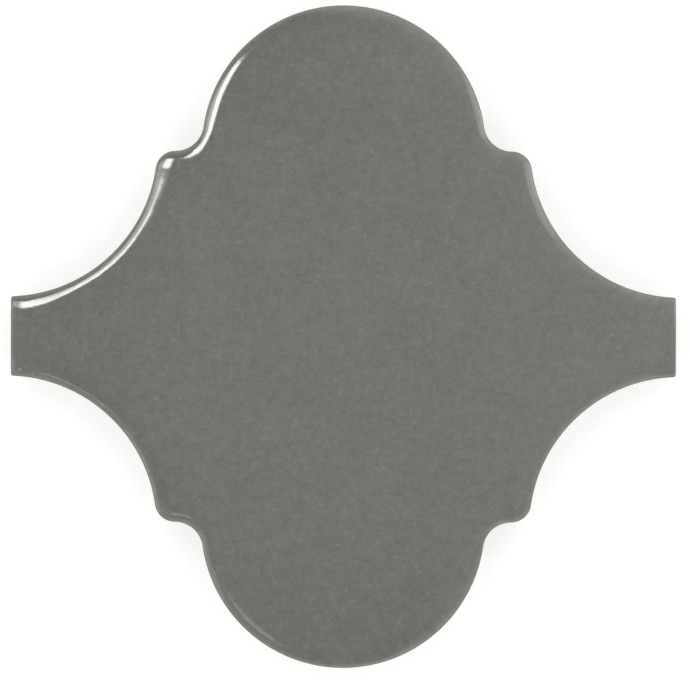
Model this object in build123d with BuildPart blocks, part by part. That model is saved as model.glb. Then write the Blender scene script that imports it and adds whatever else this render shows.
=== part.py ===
from build123d import *

import os
from math import asin, atan2, degrees, floor, hypot, sqrt

# A lantern-shaped wall tile: pressed from clay, fired and glazed in one piece.
# X runs from arm to arm, Y from lobe to lobe, and Z out of the glazed face.
# The origin is at the middle of the back, on the plane of its ribs.

# Outline, in millimetres
TILE_LENGTH = 120.0  # from the end of one arm to the end of the other
ARM_WIDTH = 14.4  # the flat end of an arm
SHOULDER_RADIUS = 3.65  # the rounded shoulder between a flank and a lobe
JOINT = 1.4  # what the pattern leaves for grout between two tiles
ARM_CORNER_ROUND = 0.5  # the upright corners at the end of an arm

# Thickness and edges
THICKNESS = 8.0  # from the back's ribs to the glazed face
FACE_ROUND = 2.0  # the roll of the glazed edge, seen in section
BACK_CHAMFER = 0.3  # the small bevel that the press leaves round the back

# The keyed back, where mortar grips
KEY_MARGIN = 5.0  # the plain rim round the field of pockets
KEY_PITCH = 10.0  # from one rib to the next
KEY_RIB = 2.2  # a rib's width where it meets the wall
KEY_DEPTH = 0.8  # how deep a pocket is pressed
KEY_DRAFT = 20.0  # degrees that a pocket's walls lean, so that the punch lets go

# The pattern repeats along X at one tile and one joint. Its joints are centred on a line
# of equal circles and small bends: each circle is a lobe of one tile and the flank of
# the next, and each bend is a shoulder here and the hollow beside a lobe there.
pitch = TILE_LENGTH + JOINT
quarter = pitch / 4
half_joint = JOINT / 2
bend = SHOULDER_RADIUS + half_joint
circle = hypot(quarter, bend) - bend

# Circle and bend touch where the line between their centres crosses both.
lean = degrees(atan2(bend, quarter))
sweep = 90 - lean

# A tile's edge lies half a joint inside the pattern's line.
lobe_radius = circle - half_joint
hollow_radius = bend + half_joint
flank_radius = circle + half_joint
circle_height = ARM_WIDTH / 2 + sqrt(flank_radius**2 - half_joint**2)
arm_end_angle = degrees(asin(half_joint / flank_radius))

with BuildPart() as glazed_tile:
    with BuildSketch() as outline:
        with BuildLine():
            CenterArc((quarter, circle_height + bend), hollow_radius, 180 + lean, sweep)
            CenterArc((quarter, circle_height - bend), SHOULDER_RADIUS, lean, sweep)
            CenterArc((pitch / 2, circle_height), flank_radius, 180 + lean, sweep - arm_end_angle)
            mirror(about=Plane.XZ)
            Line((TILE_LENGTH / 2, ARM_WIDTH / 2), (TILE_LENGTH / 2, -ARM_WIDTH / 2))
            mirror(about=Plane.YZ)
            lobe = CenterArc((0, circle_height), lobe_radius, lean, 180 - 2 * lean)
            mirror(lobe, about=Plane.XZ)
        make_face()
    extrude(amount=THICKNESS)

    # The arm ends lose their upright corners, and then the glazed edge rolls over all round.
    arm_ends = glazed_tile.faces().filter_by(Axis.X)
    fillet(arm_ends.edges().filter_by(Axis.Z), ARM_CORNER_ROUND)
    fillet(glazed_tile.faces().sort_by(Axis.Z)[-1].edges(), FACE_ROUND)
    chamfer(glazed_tile.faces().sort_by(Axis.Z)[0].edges(), BACK_CHAMFER)

    # Ribs cross at the middle of the back, so the field is even about both axes.
    reach = max(TILE_LENGTH / 2, circle_height + lobe_radius)
    rib_count = 2 * floor(reach / KEY_PITCH) + 1
    with BuildSketch() as key_field:
        offset(outline.sketch, amount=-KEY_MARGIN)
        with GridLocations(KEY_PITCH, 0, rib_count, 1):
            Rectangle(KEY_RIB, 2 * reach, mode=Mode.SUBTRACT)
        with GridLocations(0, KEY_PITCH, 1, rib_count):
            Rectangle(2 * reach, KEY_RIB, mode=Mode.SUBTRACT)

    # Where the rim leaves less of a pocket than a rib takes up, the back stays solid.
    rib_area = KEY_RIB * (KEY_PITCH - KEY_RIB)
    pockets = key_field.faces().filter_by(lambda pocket: pocket.area > rib_area)
    extrude(pockets, amount=KEY_DEPTH, taper=KEY_DRAFT, mode=Mode.SUBTRACT)

glazed_tile.part.label = "glazed_tile"

os.makedirs("parts", exist_ok=True)
export_step(glazed_tile.part, "parts/glazed_tile.step")

size = glazed_tile.part.bounding_box().size
print("size", round(size.X, 2), round(size.Y, 2), round(size.Z, 2), "mm")
print("volume", round(glazed_tile.part.volume / 1000, 2), "cm3, pockets", len(pockets))
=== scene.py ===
# %% [markdown]
# # A lantern-shaped wall tile, dressed in Blender
# The real thing is one piece of fired clay. A press gives it the outline, the rolled edge and
# the keyed back, and then a warm grey glaze is melted over its face and part of the way down
# its sides. So this lesson makes one mesh and one finish, and then photographs it from above.
#
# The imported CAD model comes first, because it is the frame that everything else has to fit.
# The lesson could trace the CAD mesh, but its facets show in a glossy glaze. It is better to
# work the same outline out again from the same few sizes, as finely as the reflections need.

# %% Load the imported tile
from itertools import accumulate
from math import pi, radians

import bmesh
import bpy
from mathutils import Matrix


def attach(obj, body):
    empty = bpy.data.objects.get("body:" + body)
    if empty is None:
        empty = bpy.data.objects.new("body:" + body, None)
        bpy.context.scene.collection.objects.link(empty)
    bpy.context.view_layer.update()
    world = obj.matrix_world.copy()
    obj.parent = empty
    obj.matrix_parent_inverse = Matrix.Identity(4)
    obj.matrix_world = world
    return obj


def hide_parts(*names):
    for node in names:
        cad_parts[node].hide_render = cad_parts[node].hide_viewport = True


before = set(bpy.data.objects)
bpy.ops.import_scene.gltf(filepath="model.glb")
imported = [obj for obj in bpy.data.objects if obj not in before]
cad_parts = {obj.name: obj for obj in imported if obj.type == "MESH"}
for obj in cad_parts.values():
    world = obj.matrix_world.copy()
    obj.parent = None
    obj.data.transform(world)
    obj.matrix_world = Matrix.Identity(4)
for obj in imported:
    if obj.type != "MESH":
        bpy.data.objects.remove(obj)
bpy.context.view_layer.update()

MM = 0.001
cad_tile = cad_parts["glazed_tile"]


# %% [markdown]
# ## Sums that build nodes
# Both the shape and the finish are worked out by nodes. Placing and joining Math nodes one by
# one hides the sum that they make. One small class lets a socket stand in an ordinary Python
# sum instead: every operator adds the Math node, or for vectors the Vector Math node, that it
# needs. All other nodes come from one method, which takes their settings and their inputs.

# %% A socket that can be used in sums
def find_socket(sockets, key):
    """Returns a socket by its place, or the first one in use with that name."""
    if isinstance(key, int):
        return sockets[key]
    return next(s for s in sockets if s.name == key and s.enabled)


class Wire:
    """One output of a node tree, or a whole tree when it has no socket yet."""

    def __init__(self, tree, socket=None):
        self.tree = tree
        self.socket = socket

    def node(self, kind, settings=None, values=None):
        """Adds a node, sets it, joins its inputs and returns its first output."""
        made = self.tree.nodes.new(kind)
        for name, setting in (settings or {}).items():
            setattr(made, name, setting)
        for name, value in (values or {}).items():
            socket = find_socket(made.inputs, name)
            for item in value if isinstance(value, list) else [value]:
                if isinstance(item, Wire):
                    self.tree.links.new(item.socket, socket)
                else:
                    socket.default_value = item
        shown = [s for s in made.outputs if s.enabled]
        return Wire(self.tree, shown[0]) if shown else made

    def out(self, name):
        """Another output of the node that this one comes from."""
        return Wire(self.tree, find_socket(self.socket.node.outputs, name))

    def is_vector(self):
        return self.socket.type == "VECTOR"

    def math(self, operation, *terms):
        """Adds one Math node, or one Vector Math node where a term is a vector."""
        vectors = any(isinstance(t, Wire) and t.is_vector() for t in terms)
        kind = "ShaderNodeVectorMath" if vectors else "ShaderNodeMath"
        return self.node(kind, {"operation": operation}, dict(enumerate(terms)))

    def __add__(self, other):
        return self.math("ADD", self, other)

    def __radd__(self, other):
        return self.math("ADD", other, self)

    def __sub__(self, other):
        return self.math("SUBTRACT", self, other)

    def __rsub__(self, other):
        return self.math("SUBTRACT", other, self)

    def __mul__(self, other):
        if self.is_vector() and not (isinstance(other, Wire) and other.is_vector()):
            scale = {"operation": "SCALE"}
            return self.node("ShaderNodeVectorMath", scale, {0: self, "Scale": other})
        return self.math("MULTIPLY", self, other)

    __rmul__ = __mul__

    def __truediv__(self, other):
        return self.math("DIVIDE", self, other)

    def __rtruediv__(self, other):
        return self.math("DIVIDE", other, self)

    def __pow__(self, other):
        return self.math("POWER", self, other)

    def at_least(self, other):
        return self.math("MAXIMUM", self, other)

    def at_most(self, other):
        return self.math("MINIMUM", self, other)

    def smooth(self, low, high):
        """0 below low, 1 above high, and an even slope between them."""
        ends = {"Value": self, "From Min": low, "From Max": high}
        return self.node("ShaderNodeMapRange", {"interpolation_type": "SMOOTHSTEP"}, ends)


print("Wire is ready: Math and Vector Math nodes from plain sums")

# %% [markdown]
# ## The sizes
# A lantern tile is ruled by its pattern. The joints between the tiles run along a wavy line of
# equal circles and small bends, so each lobe fits the hollow flank of its neighbour. Length,
# arm width, shoulder and joint fix every arc. The tree takes them as named inputs, together
# with the sizes of the rolled edge and of the glaze, and works the arcs out by itself.

# %% Sizes of the tile, in millimetres
sizes = {
    "Length": 120.0,
    "Arm width": 14.4,
    "Shoulder radius": 3.65,
    "Joint": 1.4,
    "Thickness": 8.0,
    "Corner round": 0.5,
    "Back bevel": 0.3,
    "Roll width": 7.15,
    "Roll height": 1.49,
    "Roll power": 8.0,
    "End roll width": 0.8,
    "End roll height": 0.15,
    "Sag width": 2.5,
    "Sag height": 0.27,
    "Glaze line": 2.6,
    "Glaze coat": 0.16,
}
print(len(sizes), "named sizes")

# %% [markdown]
# ## Points round a quarter of the edge
# The tile is the same in all four quarters, so the tree makes one and mirrors it. Along the
# quarter the edge is half of the flat arm end, its rounded corner, the flank, the shoulder,
# the hollow and half of the lobe. Inset by some depth, every arc keeps its centre, and only
# its radius changes. That gives rings that never cross, right up to the corner of the arm,
# where an offset of the finished curve would fold over itself.

# %% Start the tree and its inputs
tree = bpy.data.node_groups.new("lantern_tile", "GeometryNodeTree")


def add_socket(name, way, kind):
    """Gives the tree one more named input or output."""
    tree.interface.new_socket(name=name, in_out=way, socket_type=kind)


add_socket("Pockets", "INPUT", "NodeSocketGeometry")
for name in sizes:
    add_socket(name, "INPUT", "NodeSocketFloat")
add_socket("Finish", "INPUT", "NodeSocketMaterial")
add_socket("Tile", "OUTPUT", "NodeSocketGeometry")
bench = Wire(tree)
inputs = bench.node("NodeGroupInput")
size = {name: inputs.out(name) * MM for name in sizes if name != "Roll power"}
roll_power = inputs.out("Roll power")
print("sizes turned into metres:", len(size))

# %% Work the arcs out of the pattern
pitch = size["Length"] + size["Joint"]
quarter = pitch / 4
half_joint = size["Joint"] / 2
bend = size["Shoulder radius"] + half_joint
circle = (quarter * quarter + bend * bend) ** 0.5 - bend
lean = bench.math("ARCTAN2", bend, quarter)
lobe_radius = circle - half_joint
hollow_radius = bend + half_joint
flank_radius = circle + half_joint
lobe_height = size["Arm width"] / 2 + (flank_radius ** 2 - half_joint ** 2) ** 0.5
print("nodes up to the arcs:", len(tree.nodes))

# %% Share out the points between the arcs
arc_steps = {"end": 12, "corner": 8, "flank": 76, "shoulder": 14, "hollow": 14, "lobe": 72}
STEPS = list(arc_steps.values())
ARC_STARTS = list(accumulate(STEPS))
RING = ARC_STARTS[-1]
ROUNDER_INWARDS = 0.6  # how fast the arm's corner grows rounder with the inset
print("points in a quarter ring:", RING + 1)


def halfway(numbers):
    """Limits halfway to the next whole number, where rounding can't change the outcome."""
    return [number + 0.5 for number in numbers]


def choose(number, limits, wires):
    """Takes the first wire below the first limit, the next wire below the next one, and so on."""
    chosen = wires[0]
    for limit, wire in zip(limits, wires[1:]):
        test = number.math("GREATER_THAN", number, limit)
        cases = {"Switch": test, "False": chosen, "True": wire}
        chosen = number.node("GeometryNodeSwitch", {"input_type": "FLOAT"}, cases)
    return chosen


# %% Find a point of the edge
def edge_point(step, inset):
    """The x and y of the edge at a step along the quarter, moved in by an inset."""
    end_x = size["Length"] / 2 - inset
    corner_round = size["Corner round"] + inset * ROUNDER_INWARDS
    gap = half_joint + inset + corner_round
    reach = flank_radius + inset + corner_round
    corner_drop = (reach * reach - gap * gap) ** 0.5
    corner_y = lobe_height - corner_drop
    corner_sweep = bench.math("ARCTAN2", corner_drop, gap)
    arcs = [  # x and y of the centre, radius, first and last angle
        (end_x - corner_round, corner_y, corner_round, 0.0, corner_sweep),
        (pitch / 2, lobe_height, flank_radius + inset, corner_sweep + pi, lean + pi),
        (quarter, lobe_height - bend, size["Shoulder radius"] - inset, lean, pi / 2),
        (quarter, lobe_height + bend, hollow_radius + inset, 1.5 * pi, lean + pi),
        (0.0, lobe_height, lobe_radius - inset, lean, pi / 2),
    ]
    limits = halfway(ARC_STARTS[1:-1])
    centre_x, centre_y, radius, first_angle, last_angle = (
        choose(step, limits, list(wires)) for wires in zip(*arcs)
    )
    first = choose(step, limits, [float(start) for start in ARC_STARTS[:-1]])
    count = choose(step, limits, [float(steps) for steps in STEPS[1:]])
    angle = first_angle + (last_angle - first_angle) * ((step - first) / count)
    arc_x = centre_x + radius * angle.math("COSINE", angle)
    arc_y = centre_y + radius * angle.math("SINE", angle)
    on_arc = halfway(ARC_STARTS[:1])
    x = choose(step, on_arc, [end_x, arc_x])
    y = choose(step, on_arc, [corner_y * (step / arc_steps["end"]), arc_y])
    return x, y


print("arcs after the flat end:", len(STEPS) - 1)

# %% [markdown]
# ## The section through the edge
# Seen in section, the edge starts with a small bevel at the back and a wall of bare clay. Then
# comes the lip where the glaze stopped, a wall of glaze and the roll over to the face. A round
# fillet would be the quick way, but melted glaze draws back gently from an edge. Its section
# is a quarter of a superellipse: steep at the wall, and then flat for a long way in. It is
# wider at the shoulders and the arms' corners, and narrower in the hollows and at the tips of
# the lobes, and that moves the bright reflections inwards or outwards there. Across the end of
# an arm the roll is a narrow one of its own. The drops of the two are added, so the corner
# sinks a little and has no crease.

# %% Lay a grid for the rim
SECTION_STEPS = BEVEL, CLAY, LIP, WALL, ROLL = 3, 3, 4, 3, 24
SECTION_ENDS = list(accumulate(SECTION_STEPS))
STATIONS = SECTION_ENDS[-1]
INNER_RING = 3.4 * MM  # how far inside the edge the rim ends
NUDGE = 0.001  # keeps rounding from dropping a whole number to the one below
index = bench.node("GeometryNodeInputIndex")


def grid_of(columns, rows):
    """A grid, and the column and row of each point, worked out from the point's number."""
    counts = {"Vertices X": columns, "Vertices Y": rows}
    grid = bench.node("GeometryNodeMeshGrid", None, counts)
    column = bench.math("FLOOR", index / rows + NUDGE)
    return grid, column, index - column * rows


rim_grid, step, station = grid_of(RING + 1, STATIONS + 1)
print("stations in the section:", STATIONS + 1)

# %% Let the face wave faintly
FACE_WAVES = 0.085  # waves a millimetre
WAVE_HEIGHT = 0.010 * MM
FACE_SINK = 0.018 * MM  # room for the waves below the full thickness
NOISE_LEVEL = 3.7  # the height at which the noise is cut


def noise_at(x, y, scale, detail=2.0):
    """Smooth noise from about -1 to 1 at a point, with its scale in waves a millimetre."""
    place = bench.node("ShaderNodeCombineXYZ", None, {0: x / MM, 1: y / MM, 2: NOISE_LEVEL})
    noise = {"Vector": place, "Scale": scale, "Detail": detail, "Roughness": 0.5}
    return (bench.node("ShaderNodeTexNoise", None, noise) - 0.5) * 2


def face_level(x, y):
    """The glazed face away from its edges, with the faint waves that melting leaves."""
    waves = noise_at(x, y, FACE_WAVES) * WAVE_HEIGHT
    return size["Thickness"] - FACE_SINK + waves


print("waves of the face in mm:", WAVE_HEIGHT / MM)

# %% Measure a point against the flank's arc
def from_flank(x, y):
    """How far a point lies inside the flank's arc, and the nearest point on that arc."""
    away_x = x - pitch / 2
    away_y = y - lobe_height
    away = (away_x * away_x + away_y * away_y) ** 0.5
    pull = flank_radius / away
    return away - flank_radius, pitch / 2 + away_x * pull, lobe_height + away_y * pull


def near(x, y, at_x, at_y, spread):
    """1 at one place, and falling to 0 within about two spreads of it."""
    across = (x - at_x) / (spread * MM)
    along = (y - at_y) / (spread * MM)
    return bench.math("EXPONENT", (across * across + along * along) * -1.0)


print("a flank and a lobe differ in radius by", sizes["Joint"], "mm")

# %% Say where the roll is wider or narrower
UNEVEN_WAVES, UNEVEN_SHARE = 0.16, 0.015  # waves a millimetre, and how much they change
swells = [  # x and y of the middle, spread in millimetres, how much wider
    (quarter + 5.6 * MM, lobe_height - 2.8 * MM, 6.0, 0.23),  # the shoulder
    (quarter - 6.3 * MM, lobe_height + 1.4 * MM, 2.7, -0.46),  # the hollow
    (size["Length"] / 2 - 3.0 * MM, size["Arm width"] / 2, 5.2, 1.38),  # the arm's corner
    (0.0, lobe_height + lobe_radius, 22.0, -0.30),  # the lobe's tip
]


def widening(x, y):
    """How much wider than usual the roll is at a point of the outline."""
    wider = 1
    for at_x, at_y, spread, change in swells:
        wider = wider + near(x, y, at_x, at_y, spread) * change
    return wider + noise_at(x, y, UNEVEN_WAVES) * UNEVEN_SHARE


print("places where the roll changes its width:", len(swells))

# %% Work out how far the glaze drops at an edge
ARM_FROM = 0.375  # where the arm starts, as a share of the length
END_ROLL_POWER = 3.0


def rolled(depth, width, power):
    """How much of its height the roll still lacks: 1 at the edge, and 0 where it is over."""
    left_over = (1 - depth / width).at_least(0.0)
    return 1 - (1 - left_over ** power).at_least(0.0) ** (1 / power)


def edge_drop(x, y, edge_x, edge_y, depth):
    """How far the glaze lies below the face, at a depth inside a point of the outline."""
    arm_start = [size["Length"] * ARM_FROM]
    flank_depth, flank_x, flank_y = from_flank(x, y)
    near_x = choose(x, arm_start, [edge_x, flank_x])
    near_y = choose(x, arm_start, [edge_y, flank_y])
    side_depth = choose(x, arm_start, [depth, flank_depth])
    side_width = size["Roll width"] * widening(near_x, near_y)
    side = rolled(side_depth, side_width, roll_power) * size["Roll height"]
    end_depth = size["Length"] / 2 - x
    end = rolled(end_depth, size["End roll width"], END_ROLL_POWER) * size["End roll height"]
    return side + end


rim_x, rim_y = edge_point(step, 0.0)
rim_level = face_level(rim_x, rim_y) - edge_drop(rim_x, rim_y, rim_x, rim_y, 0.0)
print("nodes up to the top of the wall:", len(tree.nodes))

# %% Share of the way through each part of the section
def share(number, first, count):
    """How far a number has come from the first one, as a share of the count."""
    return (number - first) / count


turn = share(station, 0, BEVEL) * (pi / 2)
climb = share(station, SECTION_ENDS[0], CLAY)
step_out = share(station, SECTION_ENDS[1], LIP)
rise = share(station, SECTION_ENDS[2], WALL)
inwards = share(station, SECTION_ENDS[3], ROLL).at_least(0.0)
print("last stations of the parts:", SECTION_ENDS)

# %% Height and inset of every station
LINE_WAVES, LINE_DETAIL, LINE_HEIGHT = 0.11, 3.0, 1.1 * MM  # how unevenly the glaze stopped
LIP_HEIGHT = 0.22 * MM
RING_SPACING = 2.6  # above 1, the rings lie closer together near the wall

glaze_line = size["Glaze line"] + noise_at(rim_x, rim_y, LINE_WAVES, LINE_DETAIL) * LINE_HEIGHT
bevel_in = size["Glaze coat"] + size["Back bevel"] * (1 - bench.math("SINE", turn))
bevel_up = size["Back bevel"] * (1 - bench.math("COSINE", turn))
clay_up = size["Back bevel"] + (glaze_line - LIP_HEIGHT - size["Back bevel"]) * climb
lip_in = size["Glaze coat"] * (1 - step_out.smooth(0.0, 1.0))
lip_up = glaze_line - LIP_HEIGHT + 2 * LIP_HEIGHT * step_out
wall_up = glaze_line + LIP_HEIGHT + (rim_level - glaze_line - LIP_HEIGHT) * rise
roll_in = inwards ** RING_SPACING * INNER_RING

part_limits = halfway(SECTION_ENDS[:-1])
inset = choose(station, part_limits, [bevel_in, size["Glaze coat"], lip_in, 0.0, roll_in])
ring_x, ring_y = edge_point(step, inset)
print("nodes up to the rings:", len(tree.nodes))

# %% Bend the grid into the quarter rim
def store(geometry, name, value):
    """Keeps a number for every point, for the finish to read."""
    kind = {"data_type": "FLOAT", "domain": "POINT"}
    values = {"Geometry": geometry, "Name": name, "Value": value}
    return bench.node("GeometryNodeStoreNamedAttribute", kind, values)


def set_place(geometry, x, y, z):
    """Moves every point of a geometry to its own place."""
    place = bench.node("ShaderNodeCombineXYZ", None, {0: x, 1: y, 2: z})
    return bench.node("GeometryNodeSetPosition", None, {"Geometry": geometry, "Position": place})


roll_up = face_level(ring_x, ring_y) - edge_drop(ring_x, ring_y, rim_x, rim_y, inset)
height = choose(station, part_limits, [bevel_up, clay_up, lip_up, wall_up, roll_up])
rim = set_place(rim_grid, ring_x, ring_y, height)
coated = choose(station, part_limits[:3], [0.0, 0.0, step_out, 1.0])
rim = store(rim, "glaze", coated)
print("squares in a quarter rim:", RING * STATIONS)

# %% [markdown]
# ## The face inside the rim
# The face could be closed with one big polygon, but then it has no points to carry the end of
# the roll and the faint waves that make a glaze look melted. A grid stretched between the four
# sides of the quarter would fold over beside the hollow flank. Spokes can't: from the middle of
# the tile every point of the edge is in plain sight, so a spoke runs from each point of the
# innermost ring to the middle, and the points along it lie closer together near the rim.

# %% Run spokes across the quarter face
SPOKE = 46
SPOKE_SPACING = 1.5
face_grid, column, row = grid_of(RING + 1, SPOKE + 1)
position = bench.node("GeometryNodeInputPosition")
sample = {"data_type": "FLOAT_VECTOR", "domain": "POINT"}
ring_index = column * (STATIONS + 1) + STATIONS
found = {"Geometry": rim, "Value": position, "Index": ring_index}
ring_point = bench.node("GeometryNodeSampleIndex", sample, found)
outer = bench.node("ShaderNodeSeparateXYZ", None, {0: ring_point})
pull = 1 - (row / SPOKE) ** SPOKE_SPACING
face_x, face_y = outer * pull, outer.out("Y") * pull
print("squares in a quarter face:", RING * SPOKE)

# %% Measure how deep each point of the face lies
inner_edge = bench.math("GREATER_THAN", station, STATIONS - 0.5)
only_ring = {"Geometry": rim, "Selection": inner_edge}
inner_ring = bench.node("GeometryNodeSeparateGeometry", {"domain": "POINT"}, only_ring)
flat = {"Geometry": inner_ring, "Scale": (1, 1, 0)}
inner_flat = bench.node("GeometryNodeTransform", None, flat)
flat_place = bench.node("ShaderNodeCombineXYZ", None, {0: face_x, 1: face_y, 2: 0.0})
target = {"Geometry": inner_flat, "Sample Position": flat_place}
nearest = bench.node("GeometryNodeProximity", {"target_element": "EDGES"}, target)
ring_at = nearest.out("Position")
outwards = bench.math("NORMALIZE", ring_at - flat_place)
edge_at = bench.node("ShaderNodeSeparateXYZ", None, {0: ring_at + outwards * INNER_RING})
face_depth = nearest.out("Distance") + INNER_RING
print("the face starts", INNER_RING / MM, "mm inside the edge")

# %% Give the face its height
drop = edge_drop(face_x, face_y, edge_at, edge_at.out("Y"), face_depth)
own_height = face_level(face_x, face_y) - drop
face_up = choose(row, halfway([0]), [outer.out("Z"), own_height])
face = set_place(face_grid, face_x, face_y, face_up)
face = store(face, "glaze", 1.0)
print("nodes up to the face:", len(tree.nodes))

# %% [markdown]
# ## The other three quarters
# Modelling each quarter by itself would let the four drift apart, so they are copies with a
# negative scale. Such a scale turns a shape inside out. A quarter that is mirrored once has its
# faces flipped back, and one that is mirrored both ways is right as it is. Merging the points
# that lie together closes the seams along the two middle lines.

# %% Mirror the quarter and join the four
MERGE = 0.002 * MM
quarter_tile = bench.node("GeometryNodeJoinGeometry", None, {0: [rim, face]})
quarters = [quarter_tile]
for x_way, y_way in ((-1, 1), (-1, -1), (1, -1)):
    turned = {"Geometry": quarter_tile, "Scale": (x_way, y_way, 1)}
    copy = bench.node("GeometryNodeTransform", None, turned)
    if x_way != y_way:
        copy = bench.node("GeometryNodeFlipFaces", None, {0: copy})
    quarters.append(copy)
body = bench.node("GeometryNodeJoinGeometry", None, {0: quarters})
body = bench.node("GeometryNodeMergeByDistance", None, {"Geometry": body, "Distance": MERGE})
print("quarters:", len(quarters))

# %% [markdown]
# ## A sag at the left end
# Glaze is thick and soft in the kiln, and seldom runs quite evenly. In the photograph the long
# bright line at the upper left stops short of the left arm's end, so there the glaze leans a
# little outwards. The roll across the arm's end could be made wider, but it belongs to both
# ends, and the right one has no such slope. So this one comes after the mirroring: the glaze
# above the wall sinks near the left end, and the clay below it stays where it is.

# %% Let the glaze sag a little at the left end
SAG_POWER = 2.0
SAG_FROM, SAG_FULL = 3.8 * MM, 6.4 * MM  # the heights between which the sag sets in
spot = bench.node("ShaderNodeSeparateXYZ", None, {0: position})
sag = rolled(size["Length"] / 2 + spot, size["Sag width"], SAG_POWER) * size["Sag height"]
sag = sag * spot.out("Z").smooth(SAG_FROM, SAG_FULL)
lower = bench.node("ShaderNodeCombineXYZ", None, {0: 0.0, 1: 0.0, 2: sag * -1})
body = bench.node("GeometryNodeSetPosition", None, {"Geometry": body, "Offset": lower})
print("the left end sags by", sizes["Sag height"], "mm at most")

# %% [markdown]
# ## The keyed back
# The back is pressed with rows of shallow pockets, whose ribs key into the mortar. They are
# flat-sided and plain, so the CAD model already has them right. The tree takes the pockets'
# walls and floors from a copy of its mesh and fills the plane round them: the tile's own edge
# is the outer curve and every pocket's mouth is a hole in it.

# %% Copy the pockets out of the CAD mesh
POCKET_LOW, POCKET_TOP = 0.5 * MM, 0.9 * MM  # a pocket's faces end between these heights
FLAT_ANGLE = radians(1)
pocket_mesh = bmesh.new()
pocket_mesh.from_mesh(cad_tile.data)
bmesh.ops.remove_doubles(pocket_mesh, verts=pocket_mesh.verts, dist=0.001 * MM)
other = [
    f for f in pocket_mesh.faces
    if not POCKET_LOW < max(v.co.z for v in f.verts) < POCKET_TOP
]
bmesh.ops.delete(pocket_mesh, geom=other, context="FACES")
bmesh.ops.dissolve_limit(
    pocket_mesh, angle_limit=FLAT_ANGLE, verts=pocket_mesh.verts, edges=pocket_mesh.edges
)
pockets = bpy.data.meshes.new("pockets")
pocket_mesh.to_mesh(pockets)
print("pocket faces:", len(pocket_mesh.faces))
pocket_mesh.free()

# %% Fill the back round the pockets
faces_here = bench.node("GeometryNodeInputMeshEdgeNeighbors")
rims = bench.math("COMPARE", faces_here, 1.0, 0.1)


def open_edges_of(mesh):
    """The edges that have a face on one side only, as curves."""
    return bench.node("GeometryNodeMeshToCurve", None, {"Mesh": mesh, "Selection": rims})


outlines = [open_edges_of(body), open_edges_of(inputs.out("Pockets"))]
curves = bench.node("GeometryNodeJoinGeometry", None, {0: outlines})
back = bench.node("GeometryNodeFillCurve", {"mode": "TRIANGLES"}, {"Curve": curves})
up = bench.node("GeometryNodeInputNormal")
faces_up = bench.node("ShaderNodeSeparateXYZ", None, {0: up}).out("Z")
wrong_way = bench.math("GREATER_THAN", faces_up, 0.0)
back = bench.node("GeometryNodeFlipFaces", None, {"Mesh": back, "Selection": wrong_way})
print("nodes up to the back:", len(tree.nodes))

# %% Join everything and finish the tree
tile = bench.node("GeometryNodeJoinGeometry", None, {0: [body, back, inputs.out("Pockets")]})
tile = bench.node("GeometryNodeMergeByDistance", None, {"Geometry": tile, "Distance": MERGE})
tile = bench.node("GeometryNodeSetShadeSmooth", None, {"Geometry": tile})
tile = bench.node("GeometryNodeRealizeInstances", None, {"Geometry": tile})
dress = {"Geometry": tile, "Material": inputs.out("Finish")}
tile = bench.node("GeometryNodeSetMaterial", None, dress)
bench.node("NodeGroupOutput", None, {"Tile": tile})
print("nodes in the tree:", len(tree.nodes))

# %% [markdown]
# ## The finish
# The glaze is an opaque warm grey with a glassy surface. Close up it isn't one grey: there are
# small lighter flecks, darker specks and very faint clouds, because the pigment never melts
# quite evenly. A picture could carry that, but noise in Object coordinates has no seams, and
# its grain is set in millimetres. Below the glaze line the clay is bare, pale and dry.

# %% Start the finish and its coordinates
finish = bpy.data.materials.new("glazed_clay")
finish.use_nodes = True
finish.node_tree.nodes.clear()
shade = Wire(finish.node_tree)
place = shade.node("ShaderNodeTexCoord").out("Object") * 1000.0


def grain(scale, detail, roughness, lift=0.0):
    """Noise around 0 with its scale in waves a millimetre, cut at a place of its own."""
    moved = place.math("ADD", place, (lift, lift * 0.7, lift * 0.3)) if lift else place
    values = {"Vector": moved, "Scale": scale, "Detail": detail, "Roughness": roughness}
    return shade.node("ShaderNodeTexNoise", None, values) - 0.5


def read(name):
    """A number that the tree kept on the mesh."""
    return shade.node("ShaderNodeAttribute", {"attribute_name": name}).out("Fac")


print("nodes up to the coordinates:", len(finish.node_tree.nodes))

# %% Mottle the glaze
GLAZE_GREY = (0.1522, 0.1467, 0.1325, 1)
PLAIN_TONE = 0.984
FINE, MEDIUM, BROAD = 0.41, 0.36, 0.14  # how strongly each size of cloud shows
FLECK, SPECK = 0.14, 0.14  # how light the flecks and how dark the specks are

# Each grain says its waves a millimetre, detail, roughness and where the noise is cut.
fine = grain(1.5, 2.0, 0.6)
medium = grain(0.62, 2.0, 0.5, 31.0)
broad = grain(0.11, 2.0, 0.5, 57.0)
flecks = grain(0.95, 1.0, 0.5, 83.0).smooth(0.09, 0.26)
specks = grain(1.15, 0.5, 0.5, 119.0).smooth(0.17, 0.33)
tone = PLAIN_TONE + fine * FINE + medium * MEDIUM + broad * BROAD
tone = tone + flecks * FLECK - specks * SPECK


def tinted(colour, factor):
    """A colour made lighter or darker all through."""
    kind = {"data_type": "RGBA", "blend_type": "MULTIPLY"}
    level = shade.node("ShaderNodeCombineColor", None, {0: factor, 1: factor, 2: factor})
    return shade.node("ShaderNodeMix", kind, {"Factor": 1.0, "A": colour, "B": level})


glaze_colour = tinted(GLAZE_GREY, tone)
print("nodes up to the glaze:", len(finish.node_tree.nodes))

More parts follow.
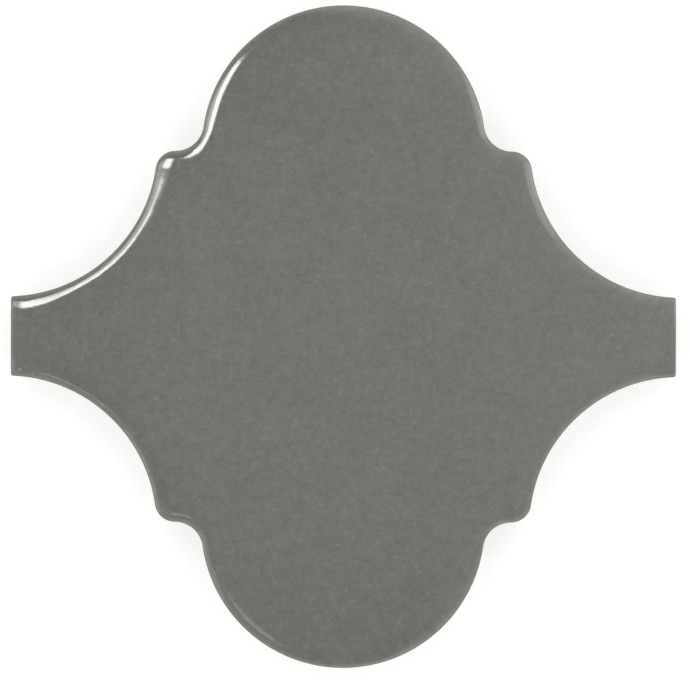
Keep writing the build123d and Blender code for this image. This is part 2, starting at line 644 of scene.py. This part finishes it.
# %% Dust the clay
CLAY_CREAM = (0.66, 0.60, 0.52, 1)
CLAY_GRAIN, CLAY_DUST = 0.22, 0.20
clay_grain = grain(1.1, 4.0, 0.65, 11.0)
clay_dust = grain(0.16, 3.0, 0.6, 41.0)
clay_colour = tinted(CLAY_CREAM, 1 + clay_grain * CLAY_GRAIN + clay_dust * CLAY_DUST)
print("nodes up to the clay:", len(finish.node_tree.nodes))

# %% Join glaze and clay at the glaze line
GLASSY, DRY = 0.055, 0.86  # roughness of the glaze and of the clay
GLASS_IOR = 1.5
RIPPLE, FINE_RIPPLE, GRIT = 0.006, 0.0012, 0.09  # heights of the relief in millimetres
RAGGED = 0.25  # how far the glaze's end wanders on the lip
coat = (read("glaze") + grain(0.9, 2.0, 0.5, 7.0) * RAGGED).smooth(0.25, 0.75)
either = {"Factor": coat, "A": clay_colour, "B": glaze_colour}
skin = shade.node("ShaderNodeMix", {"data_type": "RGBA"}, either)
dullness = DRY - coat * (DRY - GLASSY)
ripple = grain(0.35, 1.0, 0.5, 23.0) * RIPPLE + grain(1.3, 1.0, 0.5, 29.0) * FINE_RIPPLE
grit = (1 - coat) * grain(2.4, 3.0, 0.6, 3.0) * GRIT
relief = {"Strength": 1.0, "Distance": MM, "Height": ripple + grit}
bumped = shade.node("ShaderNodeBump", None, relief)
looks = {"Base Color": skin, "Roughness": dullness, "Normal": bumped, "IOR": GLASS_IOR}
surface = shade.node("ShaderNodeBsdfPrincipled", None, looks)
shade.node("ShaderNodeOutputMaterial", None, {"Surface": surface})
print("nodes in the finish:", len(finish.node_tree.nodes))

# %% [markdown]
# ## From the tree to a plain mesh
# A modifier runs the tree on a helper object, whose own mesh brings the pockets in. The frame
# needs a mesh and not a recipe, so the result is copied out, the modifier is removed and the
# helper is deleted. Applying the modifier would do too, but that needs the helper selected and
# in the right mode. Then the edges that don't join just two faces are counted, because a fired
# tile has no gaps in its skin.

# %% Run the tree once and keep the plain mesh
maker = bpy.data.objects.new("tile_maker", pockets)
bpy.context.scene.collection.objects.link(maker)
modifier = maker.modifiers.new("lantern_tile", "NODES")
modifier.node_group = tree
sockets = {s.name: s.identifier for s in tree.interface.items_tree if s.in_out == "INPUT"}
for name, value in sizes.items():
    modifier[sockets[name]] = value
modifier[sockets["Finish"]] = finish
bpy.context.view_layer.update()
made = maker.evaluated_get(bpy.context.evaluated_depsgraph_get())
tile_mesh = bpy.data.meshes.new_from_object(made)
tile_mesh.name = "glazed_tile_dressed"
maker.modifiers.remove(modifier)
bpy.data.objects.remove(maker)
print("points in the mesh:", len(tile_mesh.vertices))

# %% Put the tile into the scene
SHARP_FROM = radians(35)  # steeper edges, such as the pockets' and the arm's ends, stay crisp
dressed = bpy.data.objects.new("glazed_tile_dressed", tile_mesh)
bpy.context.scene.collection.objects.link(dressed)
tile_mesh.set_sharp_from_angle(angle=SHARP_FROM)

check = bmesh.new()
check.from_mesh(tile_mesh)
triangles = sum(len(f.verts) - 2 for f in check.faces)
open_edges = sum(1 for e in check.edges if len(e.link_faces) != 2)
print("triangles:", triangles, "edges that don't join two faces:", open_edges)
print("volume in cm3:", round(check.calc_volume(signed=True) / (10 * MM) ** 3, 3))
check.free()

# %% Tell the frame what the piece is
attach(dressed, "root")
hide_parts("glazed_tile")
print(dressed.name, "rides on the root and stands for the CAD tile")

# %% [markdown]
# ## The floor
# The tile lies on its back on a pale floor, and in the photograph everything round it is white.
# More light would make the floor white, but it would bleach the tile too. So the floor is an
# ordinary pale one, and only rays that see it directly, or by reflection, see it lifted to
# white. It still catches the tile's soft shadow.

# %% Make the floor
FLOOR_REACH = 4.0
FLOOR_PALE = (0.8, 0.8, 0.8, 1)
LIFT_TO_WHITE = 0.36
WHITE = (1, 1, 1, 1)
sides = ((-1, -1), (1, -1), (1, 1), (-1, 1))
corners = [(x * FLOOR_REACH, y * FLOOR_REACH, 0) for x, y in sides]
floor_mesh = bpy.data.meshes.new("floor")
floor_mesh.from_pydata(corners, [], [(0, 1, 2, 3)])
floor = bpy.data.objects.new("floor", floor_mesh)
bpy.context.scene.collection.objects.link(floor)
print("floor in metres:", 2 * FLOOR_REACH)

# %% Paint the floor
pale = bpy.data.materials.new("pale_floor")
pale.use_nodes = True
pale.node_tree.nodes.clear()
ground = Wire(pale.node_tree)
matte = ground.node("ShaderNodeBsdfDiffuse", None, {"Color": FLOOR_PALE})
lift = {"Color": WHITE, "Strength": LIFT_TO_WHITE}
glow = ground.node("ShaderNodeEmission", None, lift)
lifted = ground.node("ShaderNodeAddShader", None, {0: matte, 1: glow})
path = ground.node("ShaderNodeLightPath")
seen = path.out("Is Camera Ray").at_least(path.out("Is Glossy Ray"))
seen = seen.at_least(path.out("Is Transmission Ray"))
mixed = ground.node("ShaderNodeMixShader", None, {0: seen, 1: matte, 2: lifted})
ground.node("ShaderNodeOutputMaterial", None, {"Surface": mixed})
floor_mesh.materials.append(pale)
print("nodes in the floor:", len(pale.node_tree.nodes))

# %% [markdown]
# ## The room that the glaze reflects
# A glossy tile shows its shape by what its rolled edge reflects. Lamps all round could do that,
# but they would also light the tile and change its grey. So the world has two sides: to a matt
# surface it is plain white light, and to a reflection it is a room. The room is dim on the left
# and bright on the right, as with windows along one wall. Every part of it is placed by two
# angles: the compass angle round the tile, and the angle from straight above.

# %% Find the way that a reflection looks
world = bpy.data.worlds.new("soft_room")
world.use_nodes = True
world.node_tree.nodes.clear()
bpy.context.scene.world = world
sky = Wire(world.node_tree)
direction = sky.node("ShaderNodeTexCoord")
parts = sky.node("ShaderNodeSeparateXYZ", None, {0: direction})
to_right, to_top, aloft = parts, parts.out("Y"), parts.out("Z")
compass = sky.math("ARCTAN2", to_top, to_right) * (180 / pi)
from_above = sky.math("ARCCOSINE", aloft) * (180 / pi)


def towards(middle, half_width, soft):
    """1 towards a compass angle, and 0 beyond a half width on either side of it."""
    turn_off = sky.math("ABSOLUTE", sky.math("WRAP", compass - middle, 180.0, -180.0))
    return 1 - turn_off.smooth(half_width - soft, half_width + soft)


print("nodes up to the two angles:", len(world.node_tree.nodes))

# %% Make a dim half and a bright half
DIM, OVERHEAD, CORNER_GLOW, DIM_WALL = 0.02, 0.81, 0.50, 1.60
BRIGHT, CEILING, BRIGHT_WALL = 0.93, 0.25, 0.85
# The numbers in from_above.smooth are degrees from straight above.
bright_side = (to_right + to_top * 0.25).smooth(-0.010, 0.068)
overhead = 1 - from_above.smooth(2.1, 7.1)
corner = towards(190, 50, 15) * from_above.smooth(3.0, 8.0) * (1 - from_above.smooth(22.0, 50.0))
dim_half = DIM + overhead * OVERHEAD + corner * CORNER_GLOW
dim_half = dim_half + from_above.smooth(9.0, 50.0) * DIM_WALL
bright_half = BRIGHT + from_above.smooth(1.5, 6.0) * CEILING
bright_half = bright_half + from_above.smooth(6.5, 41.0) * BRIGHT_WALL
room = dim_half * (1 - bright_side) + bright_half * bright_side
print("nodes up to the two halves:", len(world.node_tree.nodes))

# %% [markdown]
# ## Cards round the room
# The two halves alone leave the roll too even. A photographer stands pale and dark cards round
# a glossy thing to draw its edges, and here a card is one row of a table. Each was placed where
# the photograph's rim shows a lighter or a darker stretch, and the last one is a dark card.

# %% Stand pale and dark cards round the room
cards = [  # towards, half width, softness, begins at, full from, how bright
    (50, 45, 20, 7, 20, 0.45),
    (20, 14, 3, 8, 13, 1.90),
    (12, 8, 4, 34, 50, 2.90),
    (80, 40, 15, 3, 8, 0.28),
    (165, 10, 5, 30, 45, 1.90),
    (202, 14, 6, 11, 40, 1.45),
    (262, 32, 14, 3, 9, 0.42),
    (300, 25, 10, 20, 40, 0.80),
    (312, 32, 14, 4, 9, -0.22),
]
LOW_DOWN = 1.05  # how bright the room is near the floor
for middle, half_width, softness, begins, full, strength in cards:
    card = towards(middle, half_width, softness) * from_above.smooth(float(begins), float(full))
    room = room + card * strength
low_down = from_above.smooth(60.0, 84.0)
room = room * (1 - low_down) + low_down * LOW_DOWN
print("cards round the room:", len(cards))

# %% Show the room to reflections alone
def backdrop(strength):
    """White light from all round, of one strength or of a strength that varies."""
    return sky.node("ShaderNodeBackground", None, {"Color": WHITE, "Strength": strength})


rays = sky.node("ShaderNodeLightPath")
reflected = {0: rays.out("Is Glossy Ray"), 1: backdrop(1.0), 2: backdrop(room)}
lit = sky.node("ShaderNodeMixShader", None, reflected)
direct = {0: rays.out("Is Camera Ray"), 1: lit, 2: backdrop(1.0)}
lit = sky.node("ShaderNodeMixShader", None, direct)
sky.node("ShaderNodeOutputWorld", None, {"Surface": lit})
print("nodes in the sky:", len(world.node_tree.nodes))

# %% [markdown]
# ## The window that draws the bright edge
# The bright line at the upper left has crisp ends, a slanted cut and a paler tail, so it is the
# image of a window that hangs near the tile. The world can't show it: everything in it is
# endlessly far away, and would sit in the same place on the lobe and on the flank. A level area
# lamp can, because its glow may depend on where on it a ray lands. Only reflections see it, so
# the grey of the tile stays as it is.

# %% Hang lights that only reflections see
def hang_light(name, middle, light_size):
    """Hangs a level light over the tile, in millimetres, and returns its empty node tree."""
    lamp = bpy.data.lights.new(name, "AREA")
    lamp.shape = "RECTANGLE"
    lamp.size, lamp.size_y = (side * MM for side in light_size)
    lamp.energy = pi * lamp.size * lamp.size_y
    lamp.use_nodes = True
    lamp.node_tree.nodes.clear()
    hung = bpy.data.objects.new(name, lamp)
    hung.location = [place * MM for place in middle]
    hung.visible_camera = False
    hung.visible_diffuse = False
    bpy.context.scene.collection.objects.link(hung)
    return Wire(lamp.node_tree)


def spot_on(light, pivot=None, turned=0.0):
    """Where on a light a ray lands, in millimetres, after the light's pattern is turned."""
    spot = light.node("ShaderNodeNewGeometry").out("Position")
    if pivot:
        turn = {"Vector": spot, "Center": pivot, "Angle": turned}
        spot = light.node("ShaderNodeVectorRotate", {"rotation_type": "Z_AXIS"}, turn)
    spot = light.node("ShaderNodeSeparateXYZ", None, {0: spot})
    return spot / MM, spot.out("Y") / MM


def light_up(light, strength):
    """Gives a light its glow and finishes its node tree."""
    shine = light.node("ShaderNodeEmission", None, {"Strength": strength})
    light.node("ShaderNodeOutputLight", None, {"Surface": shine})


WINDOW_MIDDLE, WINDOW_SIZE = (-290, 157, 808), (450, 240)
WINDOW_PIVOT, WINDOW_TURN = (-0.150, 0.120, 0), 0.101  # metres and radians
panel = hang_light("window", WINDOW_MIDDLE, WINDOW_SIZE)
panel_x, panel_y = spot_on(panel, WINDOW_PIVOT, WINDOW_TURN)
print("the window hangs", WINDOW_MIDDLE[2], "mm above the floor")

# %% Shape the window's glow
PALE_TAIL, PANE = 5.4, 15.6  # the paler left part, and how much brighter the pane is
TAIL_END, PANE_START, RIGHT_EDGE = (-505.0, -435.0), (-228.0, -140.0), (-94.0, -80.0)
TOP, TOP_SOFT, LOW_SOFT = 219.0, 5.0, 7.0
glow = PALE_TAIL + panel_x.smooth(*PANE_START) * PANE
slant = (171 - (panel_x + 115) * 0.634).at_most(TOP)  # the cut falls towards the right
slant = slant.at_most(TOP + (panel_x + 390) * 0.95)  # and the tail's corner falls to the left
glow = glow * (1 - panel_x.smooth(*RIGHT_EDGE)) * panel_x.smooth(*TAIL_END)
low_edge = 84.0 - (panel_x + 200) * 0.02
glow = glow * (panel_y - low_edge).smooth(-LOW_SOFT, LOW_SOFT)
glow = glow * (1 - (panel_y - slant).smooth(-TOP_SOFT, TOP_SOFT))
light_up(panel, glow)
print("nodes in the window:", len(panel.tree.nodes))

# %% [markdown]
# ## A strip lamp for the faint lines
# At the lower left the photograph has two faint lines: one along the flank and one along the
# lobe, with little between them. A far card would draw one line all the way round the shoulder.
# A lamp near the tile, lower than the window, can have a dark gap where the line breaks.

# %% Hang the strip lamp
LEFT_GLOW, RIGHT_GLOW = 3.2, 2.5
STRIP_MIDDLE, STRIP_SIZE = (-100, -116, 534), (130, 60)
GAP_START, GAP_END = (-144.0, -128.0), (-84.0, -66.0)
NEAR_EDGE, FAR_EDGE = (-142.0, -120.0), (-114.0, -90.0)
strip = hang_light("strip_lamp", STRIP_MIDDLE, STRIP_SIZE)
strip_x, strip_y = spot_on(strip)
left_part = 1 - strip_x.smooth(*GAP_START)
right_part = strip_x.smooth(*GAP_END)
strip_glow = left_part * LEFT_GLOW + right_part * RIGHT_GLOW
strip_glow = strip_glow * strip_y.smooth(*NEAR_EDGE) * (1 - strip_y.smooth(*FAR_EDGE))
light_up(strip, strip_glow)
print("nodes in the strip lamp:", len(strip.tree.nodes))

# %% [markdown]
# ## The camera
# The photograph looks straight down on the face and shows no side of the tile, so it was taken
# from far off with a long lens, or flattened afterwards. A camera looks straight down when it
# isn't turned at all. Its height follows from the lens and from how wide the picture is at the
# level of the rim. Small shifts and a very small turn bring the outline to the photograph's.

# %% Set up the camera
FRAME_WIDTH = 124.6 * MM
RIM_LEVEL = 7.0 * MM
LENS, SENSOR = 200.0, 36.0
EYE_X, EYE_Y, EYE_TURN = 0.30 * MM, -0.60 * MM, radians(0.13)
eye_data = bpy.data.cameras.new("camera")
eye_data.lens = LENS
eye_data.sensor_width = SENSOR
eye = bpy.data.objects.new("camera", eye_data)
eye.location = (EYE_X, EYE_Y, RIM_LEVEL + FRAME_WIDTH * LENS / SENSOR)
eye.rotation_euler.z = EYE_TURN
bpy.context.scene.collection.objects.link(eye)
bpy.context.scene.camera = eye
bpy.context.scene.view_settings.view_transform = "Standard"
print("camera height in mm:", round(eye.location.z / MM, 1))
